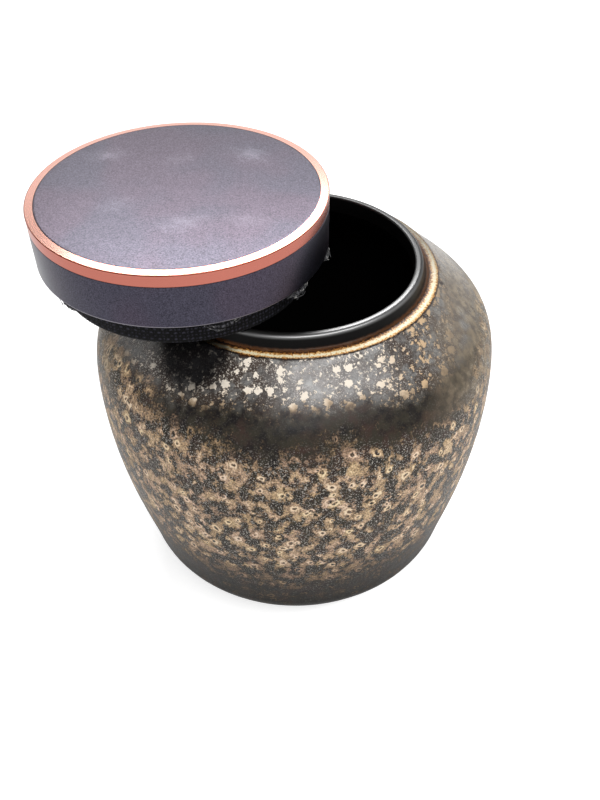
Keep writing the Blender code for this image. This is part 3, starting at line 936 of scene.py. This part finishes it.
def makeLinen():
    # coarse black linen in plain weave: matt thread crests glint grey by turns, gaps stay black, the
    # cut edge under the cap is frayed and greyer
    material, add, shader, place = newMaterial("coarseBlackLinen", {
        "Roughness": 0.7, "Sheen Weight": 0.03, "Sheen Roughness": 0.4, "Specular IOR Level": 0.15})
    uv = add(("UVMap", {"uv_map": "weave"}))
    split = add("SeparateXYZ", (uv,))
    wander = add("TexNoise", {"Vector": uv, "Scale": 0.35, "Detail": 2})
    lines = [add(timesPlus, (wander, 0.25, split.outputs[axis])) for axis in ("X", "Y")]
    crests = []
    for here, other, sign in ((lines[0], lines[1], 0.5), (lines[1], lines[0], -0.5)):
        part = add(("Math", {"operation": "FRACT"}), (here,))
        arc = add(times, (part, math.pi))
        arc = add(sine, (arc,))
        count = add(("Math", {"operation": "FLOOR"}), (here,))
        phase = add(plus, (count, other))
        phase = add(times, (phase, math.pi))
        wave = add(sine, (phase,))
        wave = add(timesPlus, (wave, sign, 0.5))
        crest = add(times, (arc, wave))
        # threads differ in how much light they catch
        own = add(("TexWhiteNoise", {"noise_dimensions": "1D"}), {"W": count})
        own = add("MapRange", (own, 0, 1, 0.65, 1.1))
        crests.append((crest, add(times, (crest, own))))
    weave = add(larger, (crests[0][0], crests[1][0]))
    across = add(times, (crests[0][1], 0.75))
    lit = add(larger, (across, crests[1][1]))
    fibre = add("TexNoise", {"Vector": uv, "Scale": 3, "Detail": 2})
    lit = add(times, (lit, fibre))
    lit = add(smooth, (lit, 0.18, 0.5))

    # frayed where the cloth has left the cap, outside the plug
    fromAxis = add(vectorMinus, (place, (lidX / mm, lidY / mm, 0)))
    flat = add(vectorTimes, (fromAxis, (1, 1, 0)))
    radius = add(lengthOf, (flat,))
    outer = add("MapRange", (radius, 39.6, 40.2))
    lower = add("SeparateXYZ", (place,)).outputs["Z"]
    lower = add("MapRange", (lower, capLow.z / mm - 1.8, capLow.z / mm - 0.4, 1, 0))
    frayAndEdgeHighlight = add(times, (outer, lower))
    dark = add(mix, (frayAndEdgeHighlight, cloth["colour"], cloth["frayColour"]))
    pale = add(mix, (frayAndEdgeHighlight, cloth["crest"], cloth["frayCrest"]))
    colour = add(mix, (lit, dark, pale))
    height = add(timesPlus, (fibre, 0.3, weave))
    bump = add("Bump", {"Strength": 0.7, "Distance": 0.2 * mm, "Height": height})
    feed(shader, {"Base Color": colour, "Normal": bump})
    return material


frayed = {
    # threads per tail, in the order of the tails
    "threads": (6, 12, 18, 9),
    "radius": 0.075 * mm, "shortest": 1.5 * mm, "longest": 5.5 * mm,
    "colour": "#28282c", "glint": "#cfcdc9", "glintSize": 1.2,    # mm
}


def makeFrayedThreads():
    # loose threads of the cut edge: they lie along the tails in bundles, some ends stand off
    draw = random.Random(11)
    curve = bpy.data.curves.new("frayed_threads", "CURVE")
    curve.dimensions = "3D"
    curve.bevel_depth = frayed["radius"]
    curve.bevel_resolution = 1
    curve.use_fill_caps = True
    leg = capRadius - cap["wall"] - cap["gap"]
    for (centre, halfWidth, *_), count in zip(tails, frayed["threads"]):
        for _ in range(count):
            length = draw.uniform(frayed["shortest"], frayed["longest"])
            angle = math.radians(centre + halfWidth * draw.uniform(-0.8, 0.6))
            way = draw.choice((-1, 1))
            level = draw.uniform(0.35, 1.1)          # how far down the tail it lies
            lift = draw.uniform(-0.5, 0.9) * mm      # how far it sinks or rises over its length
            off = draw.uniform(0.0, 1.0) ** 3 * 0.9 * mm
            phase = draw.uniform(0, turn)
            points = []
            for k in range(8):
                t = k / 7
                a = angle + way * t * length / leg
                drop, spread = tailShape(a)
                hang = max(drop, 0.3 * mm) * level
                r = leg + spread * level + 0.12 * mm + off * t * t + 0.15 * mm * math.sin(phase + 5 * t)
                z = capLow.z - hang - lift * t * t + 0.2 * mm * math.sin(phase + 7 * t)
                r = min(r, capRadius + 1.6 * mm)
                z = min(z, capLow.z - 0.3 * mm)
                points.append((lidX + r * math.cos(a), lidY + r * math.sin(a), z))
            spline = curve.splines.new("POLY")
            spline.points.add(len(points) - 1)
            for point, place in zip(spline.points, points):
                point.co = (*place, 1)
    selectOnly(newItem("frayed_threads", curve))
    bpy.ops.object.convert(target="MESH")
    return bpy.context.object


def makeThreadFibre():
    # single linen fibres: grey, with pale glints where they turn to the light
    material, add, shader, place = newMaterial("looseLinenFibre", {"Roughness": 0.6, "Sheen Weight": 0.3})
    spots = add("TexNoise", {"Vector": place, "Scale": 1 / frayed["glintSize"], "Detail": 2})
    lit = add(smooth, (spots, 0.52, 0.68))
    colour = add(mix, (lit, frayed["colour"], frayed["glint"]))
    feed(shader, {"Base Color": colour})
    return material


clothPiece = makeCloth()
clothPiece.data.materials.append(makeLinen())
threadPiece = makeFrayedThreads()
threadPiece.data.materials.append(makeThreadFibre())
for piece in (clothPiece, threadPiece):
    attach(piece, "lid")
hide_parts("plug_cloth")
print("cloth done,", len(clothPiece.data.polygons), "faces")


padding = {
    "sleeveWall": 2.0 * mm, "round": 0.4 * mm, "padRound": 0.9 * mm, "crown": 0.4 * mm,
    "steps": 96, "cell": 0.7,
    "colour": "#e6e4dc", "shade": "#c9c6bb",
}


def makeSleeve():
    low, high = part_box("foam_sleeve")
    outer, inner = (high.x - low.x) / 2, (high.x - low.x) / 2 - padding["sleeveWall"]
    edge = padding["round"]
    line = [(inner, z) for z in evenSteps(low.z + edge, high.z - edge, 2 * mm)]
    line += quarterRound((inner + edge, high.z - edge), edge, 180, 4)[1:]
    line += quarterRound((outer - edge, high.z - edge), edge, 90, 4)
    line += [(outer, z) for z in evenSteps(high.z - edge, low.z + edge, 2 * mm)][1:]
    line += quarterRound((outer - edge, low.z + edge), edge, 0, 4)[1:]
    line += quarterRound((inner + edge, low.z + edge), edge, -90, 4)
    return spinOutline("foam_core_sleeve", line, (lidX, lidY), padding["steps"], 50)


def makePad():
    low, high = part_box("foam_pad")
    outer, edge = (high.x - low.x) / 2, padding["padRound"]
    floor = low.z + padding["crown"]
    line = [(r, high.z) for r in evenSteps(0, outer - 0.3 * mm, 5 * mm)]
    line += quarterRound((outer - 0.3 * mm, high.z - 0.3 * mm), 0.3 * mm, 90, 3)[1:]
    line += quarterRound((outer - edge, floor + edge), edge, 0, 5)
    line += [(r, low.z + padding["crown"] * (r / outer) ** 2) for r in evenSteps(outer - edge, 0, 5 * mm)][1:]
    return spinOutline("foam_core_pad", line, (lidX, lidY), padding["steps"], 50)


def makeFoam():
    # soft open-cell foam: matt, off-white, with pin-sized cells
    material, add, shader, place = newMaterial(
        "softOpenCellFoam", {"Roughness": 0.95, "Specular IOR Level": 0.2})
    cells = add("TexVoronoi", {"Vector": place, "Scale": 1 / padding["cell"]})
    colour = add(mix, (cells, padding["shade"], padding["colour"]))
    bump = add("Bump", {"Strength": 0.6, "Distance": 0.15 * mm, "Height": cells})
    feed(shader, {"Base Color": colour, "Normal": bump})
    return material


board = {"colour": "#a98a63", "dark": "#7d6243", "chip": 1.8, "layer": 0.6}


def makeBoard():
    # pressed board: short chips lying flat in thin layers, matt and brown
    material, add, shader, place = newMaterial("pressedBoard", {"Roughness": 0.8})
    sizes = (1 / board["chip"], 1 / board["chip"], 1 / board["layer"])
    chips = add("Mapping", {"Vector": place, "Scale": sizes})
    flakes = add("TexNoise", {"Vector": chips, "Scale": 1, "Detail": 4, "Roughness": 0.65})
    tone = add(smooth, (flakes, 0.35, 0.65))
    colour = add(mix, (tone, board["dark"], board["colour"]))
    bump = add("Bump", {"Strength": 0.4, "Distance": 0.1 * mm, "Height": flakes})
    feed(shader, {"Base Color": colour, "Normal": bump})
    return material


glue = {"colour": "#d8cfae", "clear": "#efe8cf", "pool": 3.5}


def makeGlue():
    # cured hot glue: cloudy, yellowish and waxy
    material, add, shader, place = newMaterial("curedHotGlue", {"Roughness": 0.35})
    pools = add("TexNoise", {"Vector": place, "Scale": 1 / glue["pool"], "Detail": 2})
    colour = add(mix, (pools, glue["colour"], glue["clear"]))
    bump = add("Bump", {"Strength": 0.3, "Distance": 0.2 * mm, "Height": pools})
    feed(shader, {"Base Color": colour, "Normal": bump})
    return material


foam = makeFoam()
for piece, node in ((makeSleeve(), "foam_sleeve"), (makePad(), "foam_pad")):
    piece.data.materials.append(foam)
    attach(piece, "lid")
    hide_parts(node)
pressed = makeBoard()
for name, material in (("backing_board", pressed), ("plug_core", pressed), ("glue_disc", makeGlue())):
    nodes[name].data.materials.clear()
    nodes[name].data.materials.append(material)
print("padding, board and glue done")
